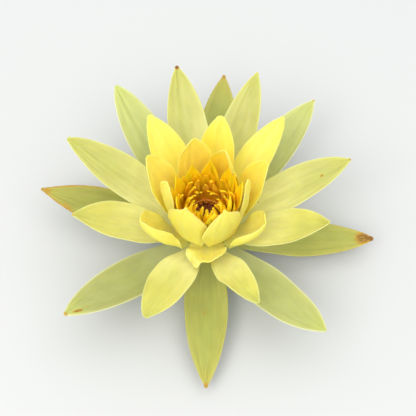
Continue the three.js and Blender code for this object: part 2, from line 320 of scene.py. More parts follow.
petalSkins = {
    "sepal_skin": {
        "foot": "cccb78", "blade": "acad50", "deep": "a09a44", "heart": "9da846", "tip": "b2a846",
        "edge": "c6be6c", "back": "718137", "veinColour": "858f3e", "heartShare": 0.35, "veinShare": 0.28,
        "flecks": 0.75, "footReach": 0.55, "rimAndHighlightShare": 0.5, "spacing": 0.9, "gloss": 0.5, "subsurface": 0.4,
        "depth": 1.8,
    },
    "outer_petal_skin": {
        "foot": "c5c998", "blade": "b7bc74", "deep": "8f9153", "heart": "a6b55c", "tip": "b6bd66",
        "edge": "e2dfba", "back": "98a755", "veinColour": "98a556", "heartShare": 0.3, "veinShare": 0.24,
        "flecks": 0.25, "footReach": 0.5, "rimAndHighlightShare": 0.6, "spacing": 0.85, "gloss": 0.46,
        "subsurface": 0.5, "depth": 2.2,
    },
    "petal_skin": {
        "foot": "f0ecaa", "blade": "b4b467", "deep": "cbc460", "heart": "a8b250", "tip": "b0b253",
        "edge": "dcd89e", "back": "bdc060", "veinColour": "aab052", "heartShare": 0.35, "veinShare": 0.2,
        "flecks": 0.0, "footReach": 0.75, "rimAndHighlightShare": 0.5, "spacing": 0.85, "gloss": 0.44,
        "subsurface": 0.6, "depth": 2.4,
    },
    "inner_petal_skin": {
        "foot": "fdeb84", "blade": "f9e580", "deep": "efc834", "heart": "fbe26c", "tip": "f8e064",
        "edge": "fff0a8", "back": "efe368", "veinColour": "eecb52", "heartShare": 0.4, "veinShare": 0.22,
        "flecks": 0.0, "footReach": 0.6, "rimAndHighlightShare": 0.2, "spacing": 0.8, "gloss": 0.42, "subsurface": 0.85,
        "depth": 3.0,
    },
}
petalFlesh = {
    "radius": (1.0, 0.74, 0.2), "cells": 7.0, "bump": 0.07, "specular": 0.42, "streakShare": 0.5,
    "fleckStain": 0.55, "cellHeight": 0.22, "driedGloss": 0.2, "ochre": "b48c2c", "brown": "7c541c",
}


# The tint group in a material: its marks come from the mesh and its colours from the looks.
def tinted(tree, looks, lay):
    marks = {name: mark(tree, name.lower()) for name in ("Along", "Across", "Rim", "Outside", "Tone")}
    colours = {name: paint(looks[name.lower()]) for name in tintColours}
    return placeGroup(tree, petalTint, {
        "Lay": lay, **marks, **colours, "Heart Share": looks["heartShare"],
        "Foot Reach": looks["footReach"], "Rim And Highlight Share": looks["rimAndHighlightShare"],
    })[0]


def makePetalMaterial(name, looks):
    material, tree, shader = newMaterial(name)
    lay, outside = mark(tree, "lay", "Vector"), mark(tree, "outside")
    lines = placeGroup(tree, veins, {"Lay": lay, "Spacing": looks["spacing"]})
    streaks = times(tree, lines["Streaks"], looks["streakShare"])
    drawn = times(tree, maths(tree, "ADD", lines["Lines"], streaks), looks["veinShare"])
    colour = mixColours(tree, drawn, tinted(tree, looks, lay), paint(looks["veinColour"]))
    onBack = times(tree, outside, lines["Streaks"])
    flecked = times(tree, times(tree, onBack, looks["flecks"]), looks["fleckStain"])
    aged = placeGroup(tree, agedTissue, {
        "Lay": lay, "Stain": maths(tree, "MAXIMUM", mark(tree, "stain"), flecked), "Colour": colour,
        "Ochre": paint(looks["ochre"]), "Brown": paint(looks["brown"]),
    })
    skin = waxy(tree, looks, lay)
    height = maths(tree, "ADD", times(tree, skin["Height"], looks["cellHeight"]), lines["Height"])
    dried = times(tree, aged["Mask"], looks["driedGloss"])
    roughness = maths(tree, "ADD", skin["Roughness"], dried)
    dressShader(tree, shader, aged["Colour"], roughness, height, looks)
    shader["Specular IOR Level"].default_value = looks["specular"]
    return material


petalMaterials = {name: makePetalMaterial(name, {**petalFlesh, **own}) for name, own in petalSkins.items()}
print("petal materials ready")

# The shape of one blade follows the same rule as its solid, on a finer grid.
stalk = {"radius": 5.5, "height": 7, "canals": 4, "canalRadius": 1.1, "canalRing": 2.6, "canalDepth": 5}
ovary = {"radius": 10, "height": 15, "rimRadius": 9, "widestAt": 0.62}
ovaryTop = stalk["height"] + ovary["height"]
seatGap = 0.3
tipThick = 0.6
solidSteps = 48  # steps that the solid's midrib is walked in
fineSteps = 480
usualBlade = {
    "sway": 0, "roll": 0, "hook": 0, "knee": 0.16, "seatSlope": 8, "widest": 0.48, "wave": 0, "crease": 0,
    "tone": 0, "sacs": 0, "brownRim": 0, "stains": [], "folds": [],
}


def smooth(value, low, high):
    share = np.clip((value - low) / (high - low), 0, 1)
    return share * share * (3 - 2 * share)


def ovaryRadius(height):
    share = np.clip(height / ovary["height"], 0, 1)
    swell = np.sin(np.minimum(1, share / ovary["widestAt"]) * rightAngle)
    closing = smooth(share, ovary["widestAt"], 1)
    drawnIn = (ovary["radius"] - ovary["rimRadius"]) * closing
    return stalk["radius"] + (ovary["radius"] - stalk["radius"]) * swell - drawnIn


def outlineAt(share, blade):
    opening = np.sin(np.clip(share / blade["widest"], 0, 1) * rightAngle) ** 1.3
    closing = np.clip((share - blade["widest"]) / (1 - blade["widest"]), 0, 1)
    spread = blade["claw"] + (1 - blade["claw"]) * opening
    return np.where(share < blade["widest"], spread, (1 - closing ** 2.2) ** blade["point"])


def directionsAt(share, blade):
    share = np.maximum(share, 0)
    low, middle, high = blade["rise"]
    bend = (1 - share) ** 2 * low + 2 * share * (1 - share) * middle + share ** 2 * high
    knee = np.maximum(0, 1 - share / blade["knee"]) ** 2
    slope = bend * (1 - knee) + np.minimum(bend, blade["seatSlope"]) * knee
    slope = np.radians(slope + smooth(share, 0.78, 1) * blade["hook"])
    heading = np.radians(blade["azimuth"] + blade["sway"] * share ** 2)
    along = np.stack([np.cos(slope) * np.cos(heading), np.cos(slope) * np.sin(heading), np.sin(slope)], 1)
    flat = np.stack([-np.sin(heading), np.cos(heading), 0 * heading], 1)
    lean = np.radians(blade["roll"]) * smooth(share, 0, 0.6)
    side = flat * np.cos(lean)[:, None] + np.cross(along, flat) * np.sin(lean)[:, None]
    return along, side, np.cross(along, side)


def midribPlaces(share, blade):
    steps = np.linspace(0, 1, fineSteps + 1)
    along = directionsAt((steps[:-1] + steps[1:]) / 2 - 0.5 / solidSteps, blade)[0]
    walked = np.vstack([np.zeros(3), np.cumsum(along, 0)]) * blade["length"] / fineSteps
    heading, radius = math.radians(blade["azimuth"]), blade["start"]
    start = np.array([radius * math.cos(heading), radius * math.sin(heading), blade["footHeight"]])
    places = start + np.stack([np.interp(share, steps, walked[:, axis]) for axis in range(3)], 1)
    before = np.minimum(share, 0) * blade["length"]  # the foot runs straight back into what carries it
    return places + before[:, None] * directionsAt(np.zeros(1), blade)[0]


petalGrid = {"rows": 72, "tipRows": 9, "columns": 34, "sunk": 0.9, "tipRound": 1.1, "thin": 0.55}
stamenGrid = {"rows": 22, "tipRows": 4, "columns": 8, "sunk": 0.0, "tipRound": 0.35, "thin": 0.7}
columnCrowding = 1.3  # columns stand closer together at the margins
ripples = {"broad": 0.55, "margin": 0.8, "ridges": 0.28, "fineRidges": 0.22, "ragged": 0.022}
inwardReach = {"crease": 0.9, "brown": 0.8, "rim": 0.32}  # in millimetres
sacs = {"across": 0.48, "width": 0.2, "colourWidth": 0.22}
toneScatter = 0.06


# In the blade's own functions s runs along it, from 0 to 1, and u across it, from -1 to 1.
def marginAngles(s, u, blade):
    angle = np.maximum(0.02, np.radians(blade["cup"]) * smooth(s, 0, 0.35)) * u
    for sign, degrees, begin, end, reach in blade["folds"]:
        ends = (end - begin) * 0.35
        lengthwise = smooth(s, begin, begin + ends) * (1 - smooth(s, end - ends, end))
        sideways = smooth(sign * u, 1 - reach, 1 - reach * 0.35)
        angle = angle + sign * math.radians(degrees) * lengthwise * sideways
    return angle


def ripplesAt(s, u, half, blade, phases, beats):
    wave = blade["wave"] * smooth(s, 0.12, 0.5) * (1 - 0.5 * smooth(s, 0.9, 1))
    inside = 1 - np.abs(u) ** 3
    lift = wave * ripples["broad"] * np.sin(6.0 * beats[0] * s + 2.1 * beats[1] * u + phases[0])
    atMargin = np.sin(11 * beats[2] * s + 1.3 * np.sign(u) + phases[1])
    lift = lift + wave * ripples["margin"] * np.abs(u) ** 2.2 * atMargin
    lift = lift + wave * ripples["ridges"] * np.cos(9.5 * beats[3] * u + phases[2] + 1.5 * s) * inside
    lift = lift + wave * ripples["fineRidges"] * np.cos(17 * beats[4] * u + phases[3]) * inside
    crease = blade["crease"] * smooth(s, 0.02, 0.2) * (1 - smooth(s, 0.82, 1))
    lift = lift - crease * np.exp(-(u * half / inwardReach["crease"]) ** 2)
    ragged = blade["wave"] * ripples["ragged"]
    uneven = ragged * np.sin(15 * beats[5] * s + np.sign(u) * 2 + phases[4])
    return lift, 1 + uneven * np.abs(u) ** 3


def stainAt(s, u, half, blade):
    stain = np.zeros_like(u)
    for share, across, radius, strength in blade["stains"]:
        gap = np.hypot((s - share) * blade["length"], (u - across) * half)
        stain = np.maximum(stain, strength * (1 - smooth(gap, radius * 0.35, radius)))
    fromMargin = (1 - np.abs(u)) * half
    browned = blade["brownRim"] * np.exp(-fromMargin / inwardReach["brown"]) * smooth(s, 0.35, 0.8)
    return np.maximum(stain, browned)


def ringFaces(rows, sides, closed=False):
    faces = []
    for row in range(rows if closed else rows - 1):
        first, second = row * sides, (row + 1) % rows * sides
        for k in range(sides):
            after = (k + 1) % sides
            faces.append((first + k, second + k, second + after, first + after))
    return faces


def bladeFaces(rows, count, columns):
    faces = ringFaces(rows, count)
    for start, flip in ((0, False), ((rows - 1) * count, True)):
        top = [start + k for k in range(columns + 1)]
        under = [start + count - 2 - k for k in range(columns + 1)]
        cap = [(under[k], top[k], top[k + 1], under[k + 1]) for k in range(columns)]
        cap += [(under[0], start + count - 1, top[0]), (top[-1], start + columns + 1, under[-1])]
        faces += [face[::-1] for face in cap] if flip else cap
    return faces


# One closed blade. Each row is a ring of points: the upper face, a rounded margin, the lower
# face and the other margin.
def bladeShape(blade, grid, seed):
    draw = np.random.default_rng(seed)
    phases, beats = draw.uniform(0, 2 * math.pi, 8), draw.uniform(0.85, 1.2, 8)
    # A blade's tone: painted light and shade from its table, plus a small random difference of its own.
    tone = np.clip(blade["tone"] + draw.uniform(-toneScatter, toneScatter), 0, 1)
    columns = grid["columns"]
    roundFrom = 1 - grid["tipRound"] / blade["length"]
    foot = -grid["sunk"] / blade["length"]
    body = foot + (roundFrom - foot) * np.linspace(0, 1, grid["rows"])
    tipSteps = np.linspace(0, 1, grid["tipRows"] + 1)[1:]
    tip = roundFrom + (1 - roundFrom) * np.sin(tipSteps * rightAngle * 0.96)
    share = np.concatenate([body, tip])
    closing = np.sqrt(1 - np.clip((share - roundFrom) / (1 - roundFrom), 0, 1) ** 2)
    half = (blade["width"] / 2 * outlineAt(np.minimum(share, roundFrom), blade) * closing)[:, None]
    across = np.sin(np.linspace(-1, 1, columns + 1) * columnCrowding) / math.sin(columnCrowding)
    s, u = share[:, None], across[None, :]

    angle = marginAngles(s, u, blade)
    lift, uneven = ripplesAt(s, u, half, blade, phases, beats)
    steps = np.diff(across)[None, :]
    between = (angle[:, :-1] + angle[:, 1:]) / 2
    x = np.concatenate([np.zeros((len(share), 1)), np.cumsum(np.cos(between) * steps, 1)], 1)
    y = np.concatenate([np.zeros((len(share), 1)), np.cumsum(np.sin(between) * steps, 1)], 1)
    middle = columns // 2
    x = (x - x[:, [middle]]) * half * uneven
    y = (y - y[:, [middle]]) * half + lift * np.minimum(1, half / 2)

    thick = blade["thick"] + (min(tipThick, blade["thick"]) - blade["thick"]) * np.clip(share * 1.2, 0, 1)
    thick = (thick * np.maximum(closing, 0.25))[:, None] * (1 - grid["thin"] * np.abs(u) ** 2.5)
    swollen = blade["sacs"] * smooth(s, 0.4, 0.5) * (1 - smooth(s, 0.86, 0.94))
    ridges = swollen * np.exp(-((np.abs(u) - sacs["across"]) / sacs["width"]) ** 2)
    place = midribPlaces(share, blade)[:, None, :]
    _, side, up = directionsAt(share, blade)
    side, up = side[:, None, :], up[:, None, :]

    def onFace(offset):
        shifted, raised = x - np.sin(angle) * offset, y + np.cos(angle) * offset
        return place + side * shifted[..., None] + up * raised[..., None]

    def margin(column, sign):
        out = sign * thick[:, [column]] * 0.42
        shifted = x[:, [column]] + np.cos(angle[:, [column]]) * out
        raised = y[:, [column]] + np.sin(angle[:, [column]]) * out
        return place + side * shifted[..., None] + up * raised[..., None]

    upper = onFace(thick / 2 + ridges)
    lower = onFace(-thick / 2)
    points = np.concatenate([upper, margin(columns, 1), lower[:, ::-1], margin(0, -1)], 1)

    around = np.concatenate([across, [1], across[::-1], [-1]])[None, :] + 0 * s
    outside = np.concatenate([np.zeros(columns + 1), [0.5], np.ones(columns + 1), [0.5]])[None, :] + 0 * s
    onSacs = np.exp(-((np.abs(around) - sacs["across"]) / sacs["colourWidth"]) ** 2) * (outside < 0.4)
    marks = {
        "along": np.clip(s, 0, 1) + 0 * around,
        "across": around,
        "rim": np.exp(-(1 - np.abs(around)) * half / inwardReach["rim"]) * smooth(s, 0.1, 0.3),
        "outside": outside,
        "stain": stainAt(s, around, half, blade),
        "tone": np.full_like(around, tone),
        "anther": swollen / max(blade["sacs"], 1e-6) * onSacs,
    }
    number = np.full_like(around, seed * 7.3)
    lay = np.stack([around * blade["width"] / 2, s * blade["length"] + 0 * around, number], -1)
    return {
        "points": points.reshape(-1, 3),
        "faces": bladeFaces(len(share), around.shape[1], columns),
        "lay": lay.reshape(-1, 3),
        "marks": {name: values.reshape(-1) for name, values in marks.items()},
    }


def joinShapes(shapes):
    faces, start = [], 0
    for shape in shapes:
        faces += [tuple(start + k for k in face) for face in shape["faces"]]
        start += len(shape["points"])
    marks = {name: np.concatenate([shape["marks"][name] for shape in shapes]) for name in shapes[0]["marks"]}
    return {
        "points": np.vstack([shape["points"] for shape in shapes]),
        "faces": faces,
        "lay": np.vstack([shape["lay"] for shape in shapes]),
        "marks": marks,
    }


def makePiece(name, shape, material, nodes):
    mesh = bpy.data.meshes.new(name)
    mesh.from_pydata((shape["points"] * mm).tolist(), [], shape["faces"])
    mesh.polygons.foreach_set("use_smooth", [True] * len(mesh.polygons))
    for label, values in shape["marks"].items():
        attribute = mesh.attributes.new(label, "FLOAT", "POINT")
        attribute.data.foreach_set("value", values.astype(np.float32))
    attribute = mesh.attributes.new("lay", "FLOAT_VECTOR", "POINT")
    attribute.data.foreach_set("vector", shape["lay"].astype(np.float32).reshape(-1))
    mesh.materials.append(material)
    mesh.validate()
    piece = placed(name, mesh)
    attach(piece, "root")
    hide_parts(*nodes)
    return piece


def makeWhorl(whorl, firstSeed):
    for index, (name, own) in enumerate(whorl["blades"].items()):
        blade = {**usualBlade, **whorl["usual"], **own}
        half = blade["thick"] / 2
        wall = max(ovaryRadius(blade["seat"] - half), ovaryRadius(blade["seat"] + half))
        blade["start"] = wall + seatGap + half * math.sin(math.radians(blade["seatSlope"]))
        blade["footHeight"] = stalk["height"] + blade["seat"]
        shape = bladeShape(blade, petalGrid, firstSeed + index)
        makePiece(name + "_fine", shape, petalMaterials[whorl["slot"]], [name])
    print(whorl["slot"], "whorl made:", len(whorl["blades"]), "blades")


# In the tables: a stain is (share of length, across, radius, strength), a fold is (side,
# degrees, from, to, reach), and across runs from -1 to 1, clockwise to anticlockwise. A tone
# mixes the blade toward its deep colour as painted light and shade, set per blade by how it
# sits under the lamps, with a little tone of its own.
sepals = {
    "slot": "sepal_skin",
    "usual": {
        "seat": 1.6, "width": 16.5, "thick": 1.3, "rise": (0, 0, 2), "cup": 20, "claw": 0.55, "point": 0.95,
        "wave": 0.32, "crease": 0.18, "brownRim": 0.5, "tone": 0.2,
    },
    "blades": {
        "sepal_1": {
            "azimuth": 358, "length": 57.5, "width": 15.5, "point": 0.8, "rise": (-7, 0, 11),
            "brownRim": 0.4,
            "stains": [
                (0.93, 0.1, 4.6, 0.85), (0.985, 0, 2.6, 0.95), (0.9, -0.35, 1.6, 0.6), (0.95, 0.5, 1.6, 0.95),
            ],
        },
        "sepal_2": {
            "azimuth": 84, "length": 63, "rise": (6, 9, 12), "brownRim": 0.35, "tone": 0,
            "stains": [(0.99, 0, 2.2, 0.75)],
        },
        "sepal_3": {
            "azimuth": 166, "length": 59.5, "rise": (4, 8, 12), "brownRim": 0.8, "tone": 0.5,
            "stains": [(0.97, 0.1, 4, 0.6), (0.8, 0.85, 3, 0.5)],
        },
        "sepal_4": {
            "azimuth": 270, "length": 55, "rise": (1, -4, -7), "widest": 0.4, "brownRim": 0.1,
            "stains": [(0.985, 0, 1.8, 0.7), (0.47, -0.1, 2.2, 0.3), (0.41, -0.2, 1.4, 0.26)],
        },
    },
}
outerPetals = {
    "slot": "outer_petal_skin",
    "usual": {
        "seat": 4, "width": 17, "thick": 1.1, "rise": (9, 17, 21), "cup": 22, "claw": 0.48, "point": 0.9,
        "wave": 0.4, "crease": 0.16,
    },
    "blades": {
        "outer_petal_1": {
            "azimuth": 50, "length": 60, "stains": [(0.992, 0, 0.9, 0.5)], "folds": [(-1, 28, 0.2, 1, 0.3)],
        },
        "outer_petal_2": {"azimuth": 122, "length": 61.5, "point": 0.75},
        "outer_petal_3": {
            "azimuth": 220, "length": 60, "point": 0.8, "tone": 0.6,
            "stains": [
                (0.93, 0.35, 1.1, 0.85), (0.915, 0.36, 1.2, 0.9), (0.9, 0.37, 1.2, 0.85),
                (0.885, 0.38, 1.0, 0.7), (0.84, 0.25, 2.0, 0.3), (0.99, 0, 1.6, 0.6),
            ],
        },
        "outer_petal_4": {"azimuth": 309, "length": 58.5, "sway": 8, "point": 0.75, "tone": 0.4},
    },
}
longPetals = {
    "slot": "petal_skin",
    "usual": {
        "seat": 6.3, "width": 17, "thick": 1, "rise": (36, 30, 26), "cup": 26, "claw": 0.4, "point": 0.9,
        "wave": 0.42, "crease": 0.14,
    },
    "blades": {
        "long_petal_1": {
            "azimuth": 17, "length": 53, "rise": (34, 28, 24),
            "stains": [
                (0.76, -0.12, 1.1, 0.75), (0.75, 0.02, 0.5, 0.6), (0.25, 0.3, 0.6, 0.7), (0.995, 0, 0.9, 0.6),
            ],
        },
        "long_petal_2": {"azimuth": 69.5, "length": 55.5, "width": 15, "rise": (39, 33, 29)},
        "long_petal_3": {
            "azimuth": 101.5, "length": 54.8, "width": 16, "seat": 8.1, "rise": (37, 31, 27),
            "stains": [(0.988, 0, 1.3, 1.2)],
        },
        "long_petal_4": {"azimuth": 155, "length": 55, "point": 0.8},
        "long_petal_5": {
            "azimuth": 189.5, "length": 46, "width": 17.5, "seat": 8.5, "rise": (30, 30.5, 36), "tone": 0.6,
            "stains": [(0.992, 0, 1.1, 0.5)],
        },
        "long_petal_6": {
            "azimuth": 245.5, "length": 46, "width": 16, "seat": 8, "point": 0.7, "rise": (31, 26, 21),
            "tone": 0.7, "folds": [(-1, 40, 0.55, 1, 0.22)],
        },
        "long_petal_7": {
            "azimuth": 290.5, "length": 41, "width": 12.6, "seat": 8, "sway": 14, "point": 0.8,
            "tone": 0.75, "folds": [(-1, 60, 0.5, 1.02, 0.3)],
        },
        "long_petal_8": {
            "azimuth": 346, "length": 43.5, "seat": 8.4, "rise": (28, 33, 39.5), "hook": 8, "tone": 0.65,
            "folds": [(-1, 30, 0.3, 1, 0.2)],
        },
    },
}
cupPetals = {
    "slot": "inner_petal_skin",
    "usual": {
        "seat": 9.6, "width": 16, "thick": 0.9, "rise": (50, 45, 40), "cup": 34, "claw": 0.46,
        "point": 0.85, "wave": 0.42, "crease": 0.12,
    },
    "blades": {
        "cup_petal_1": {
            "azimuth": 46, "length": 43, "width": 15, "seat": 8.8, "sway": 8, "rise": (48, 40, 34),
            "folds": [(-1, 60, 0.25, 1.05, 0.3)], "tone": 0.45,
        },
        "cup_petal_2": {
            "azimuth": 79.5, "length": 36, "width": 15, "seat": 10.3, "point": 0.7, "rise": (65, 57, 51),
            "tone": 0.6,
        },
        "cup_petal_3": {
            "azimuth": 124, "length": 40, "rise": (54, 46, 40), "folds": [(1, 30, 0.3, 1, 0.2)],
            "tone": 0.45,
        },
        "cup_petal_4": {
            "azimuth": 207, "length": 30, "width": 20, "seat": 9.9, "cup": 50, "roll": 6,
            "rise": (28, 60, 84), "folds": [(1, 58, 0.1, 1.05, 0.6)],
        },
        "cup_petal_5": {
            "azimuth": 271, "length": 19.5, "width": 16, "seat": 12, "claw": 0.8, "widest": 0.38,
            "point": 1.15, "cup": 44, "rise": (24, 42, 66), "wave": 0.5, "tone": 0.1,
            "folds": [(-1, -115, 0.15, 1.05, 0.6)],
        },
        "cup_petal_6": {
            "azimuth": 333, "length": 26, "width": 20, "seat": 9.9, "cup": 50, "roll": -6,
            "rise": (28, 60, 84), "folds": [(-1, 42, 0.15, 1.0, 0.35)],
        },
    },
}
frontPetal = {"seat": 14.3, "claw": 0.46, "widest": 0.5, "point": 1.5}  # the two broad ones in front
innerPetals = {
    "slot": "inner_petal_skin",
    "usual": {
        "seat": 12.4, "width": 15.5, "thick": 0.9, "rise": (66, 86, 104), "cup": 36, "claw": 0.48,
        "point": 0.7, "wave": 0.36, "crease": 0.1, "tone": 0.4,
    },
    "blades": {
        "inner_petal_1": {
            "azimuth": 24.5, "length": 32, "width": 14.5, "seat": 10.9, "rise": (56, 66, 73), "tone": 0.45,
        },
        "inner_petal_2": {
            "azimuth": 61, "length": 31.5, "width": 14.5, "seat": 13.6, "rise": (69, 86, 100), "tone": 0.95,
            "folds": [(-1, 60, 0.6, 1.15, 0.6)],
        },
        "inner_petal_3": {"azimuth": 105, "length": 35, "width": 15, "rise": (63, 83, 97), "tone": 0.6},
        "inner_petal_4": {
            "azimuth": 152, "length": 33.5, "width": 15, "seat": 11.1, "rise": (60, 67, 70), "hook": 10,
            "tone": 0.35,
        },
        "inner_petal_5": {
            "azimuth": 179, "length": 28, "width": 12.8, "seat": 13.1, "cup": 18, "roll": 28,
            "rise": (64, 84, 106), "tone": 0.0,
        },
        "inner_petal_6": {
            "azimuth": 238, "length": 30.5, "width": 18.4, "cup": 46, "roll": 9, **frontPetal, "tone": 0.7,
        },
        "inner_petal_7": {
            "azimuth": 299.5, "length": 29, "width": 18, "cup": 30, "roll": 2, **frontPetal, "tone": 0.45,
            "folds": [(1, 35, 0.35, 1, 0.22)],
        },
        "inner_petal_8": {
            "azimuth": 2.5, "length": 28.5, "width": 12.6, "seat": 13.5, "cup": 20, "roll": -20,
            "rise": (61, 84, 102), "tone": 0.1,
        },
    },
}
for whorlNumber, whorl in enumerate((sepals, outerPetals, longPetals, cupPetals, innerPetals)):
    makeWhorl(whorl, 10 * whorlNumber + 1)


# A ring of heights and radii swept round the axis.
def latheShape(profile, sides, closed):
    radii, heights = np.array(profile, float).T
    turns = np.linspace(0, 2 * math.pi, sides, endpoint=False)
    points = np.stack([
        radii[:, None] * np.cos(turns), radii[:, None] * np.sin(turns), heights[:, None] + 0 * turns
    ], -1)
    rows = len(radii)
    faces = [(a, d, c, b) for a, b, c, d in ringFaces(rows, sides, closed)]
    if not closed:
        faces += [tuple(range(sides))[::-1], tuple((rows - 1) * sides + k for k in range(sides))]
    walked = np.concatenate([[0], np.cumsum(np.hypot(np.diff(radii), np.diff(heights)))])
    lay = np.stack([
        turns[None, :] * 8 + 0 * radii[:, None], walked[:, None] + 0 * turns, np.full((rows, sides), 3.1)
    ], -1)
    return {"points": points.reshape(-1, 3), "faces": faces, "lay": lay.reshape(-1, 3)}


# Stamens: the solids' own ones, from the same draws, and finer ones between them.
# A row of a ring's table is read with these names.
ringColumns = ("count", "start", "length", "width", "rise", "cup", "point", "tone", "sacs", "hook")
stamens = {
    "seed": 7, "betweenSeed": 11, "collar": {"inner": 6.1, "height": 2.4, "bevel": 1.0},
    "usual": {"seatSlope": 90, "thick": 0.55, "claw": 0.7, "wave": 0.25, "crease": 0.1, "sunk": 1.6},
    "scatter": {"azimuth": 5, "length": 0.1, "rise": 4, "sway": 14, "turn": 16},
    "rings": [
        (9, 8, 25.5, 7.6, (70.5, 84, 96), 38, 1.7, 0.1, 0, 0),
        (11, 7.6, 18.5, 5, (68, 84, 104), 34, 1.5, 0.5, 0, 0),
        (12, 7.1, 15, 2.6, (76, 90, 118), 14, 0.7, 0.6, 0.22, 0),
        (11, 6.7, 12.5, 2.2, (82, 98, 136), 8, 0.5, 0.7, 0.24, 0),
    ],
    "between": [
        (7, 8.2, 22, 6, (69, 83, 96), 34, 1.8, 0.0, 0, 0),
        (8, 7.8, 17.5, 3.4, (70, 85, 108), 26, 1.0, 0.5, 0, 30),
        (7, 7.3, 15, 2.6, (76, 88, 120), 14, 0.7, 0.8, 0.2, 50),
        (6, 6.8, 12, 2.2, (78, 94, 124), 6, 0.5, 0.9, 0.22, 60),
    ],
}


# Numbers from 0 to 1 by the same rule as the solids' draws.
def sameDraws(seed):
    state, whole = seed, 0xFFFFFFFF
    while True:
        state = (state + 0x6D2B79F5) & whole
        mixed = ((state ^ (state >> 15)) * (1 | state)) & whole
        mixed = ((mixed + ((mixed ^ (mixed >> 7)) * (61 | mixed))) & whole) ^ mixed
        yield (mixed ^ (mixed >> 14)) / 4294967296


def makeStamens(values):
    collar, scatter = values["collar"], values["scatter"]
    foot = ovaryTop + seatGap
    top = foot + collar["height"]
    shapes = []

    def addRing(row, level, draws, seed):
        ring = dict(zip(ringColumns, row))

        def spread(reach):
            return (2 * next(draws) - 1) * reach

        for i in range(ring["count"]):
            lean = spread(scatter["rise"])
            blade = {**usualBlade, **values["usual"], **ring}
            blade["azimuth"] = (i + level / 2) * 360 / ring["count"] + spread(scatter["azimuth"])
            blade["length"] = ring["length"] * (1 + spread(scatter["length"]))
            blade["rise"] = [slope + lean for slope in ring["rise"]]
            blade["sway"] = spread(scatter["sway"])
            blade["roll"] = scatter["turn"] * math.cos(math.radians(blade["azimuth"]))
            blade["footHeight"] = top - values["usual"]["sunk"]
            shapes.append(bladeShape(blade, stamenGrid, seed + i))

    draws = sameDraws(values["seed"])
    for level, row in enumerate(values["rings"]):
        addRing(row, level, draws, 100 + 20 * level)
    moreDraws = iter(random.Random(values["betweenSeed"]).random, None)
    for level, row in enumerate(values["between"]):
        addRing(row, level + 1, moreDraws, 200 + 20 * level)

    edge, bevel, inner = ovary["rimRadius"], collar["bevel"], collar["inner"]
    profile = [(inner, foot), (edge, foot), (edge, top - bevel)]
    profile += [
        (edge - bevel * (1 - math.cos(t * rightAngle)), top - bevel * (1 - math.sin(t * rightAngle)))
        for t in (0.25, 0.5, 0.75, 1)
    ]
    profile += [(inner + 0.3, top), (inner, top - 0.3)]
    ring = latheShape(profile, 96, True)
    plain = {name: np.zeros(len(ring["points"])) for name in shapes[0]["marks"]}
    ring["marks"] = {**plain, "tone": plain["tone"] + 0.5}
    return joinShapes(shapes + [ring])


stamenLooks = {
    "foot": "ffaa08", "blade": "ffdc14", "deep": "ffbe0c", "heart": "ffbe0c", "tip": "ffd214",
    "edge": "ffe040", "back": "ffd818", "anther": "ffdf58", "antherShare": 0.8, "veinShare": 0.25,
    "heartShare": 0.5, "footReach": 0.7, "rimAndHighlightShare": 0.12, "spacing": 0.5, "waver": 0.4, "cells": 9.0,
    "gloss": 0.42, "cellHeight": 0.4, "bump": 0.05, "subsurface": 0.5, "radius": (1, 0.5, 0.08), "depth": 1.6,
}


def makeStamenMaterial(looks):
    material, tree, shader = newMaterial("stamen_skin")
    lay = mark(tree, "lay", "Vector")
    lines = placeGroup(tree, veins, {"Lay": lay, "Spacing": looks["spacing"], "Waver": looks["waver"]})
    drawn = times(tree, lines["Lines"], looks["veinShare"])
    colour = mixColours(tree, drawn, tinted(tree, looks, lay), paint(looks["deep"]))
    onAnther = times(tree, mark(tree, "anther"), looks["antherShare"])
    colour = mixColours(tree, onAnther, colour, paint(looks["anther"]))
    skin = waxy(tree, looks, lay)
    height = maths(tree, "ADD", times(tree, skin["Height"], looks["cellHeight"]), lines["Height"])
    dressShader(tree, shader, colour, skin["Roughness"], height, looks)
    return material


makePiece("stamens_fine", makeStamens(stamens), makeStamenMaterial(stamenLooks), ["stamens"])
print("stamens made")

# The stigma: a rayed dish with a knob, and a curled horn at the end of each ray.
stigma = {
    "radius": 5.6, "height": 1.6, "dip": 0.7, "bend": 0.7, "rays": 12, "rayRise": 0.55, "rayWidth": 0.55,
    "rayStart": (1.0, 2.2), "rayEnd": (0.85, 0.97), "rayLoss": 0.25, "softness": 1.4, "rounding": 0.35,
    "edgeDrop": 0.6, "lobes": 0.012, "lobesFrom": 3, "rings": 44, "sides": 240, "hole": 0.02, "tone": 0.3,
    "knob": {"radius": 1.1, "height": 0.6, "reach": (0.45, 1.25)}, "hornSeed": 300,
}
horn = {
    "start": 4.9, "length": 5, "width": 1.5, "thick": 0.8, "seatSlope": 90, "rise": (70, 110, 150), "cup": 8,
    "claw": 0.9, "point": 0.5, "sunk": 0.6, "wave": 0.2,
}
hornGrid = {**stamenGrid, "thin": 0.25}


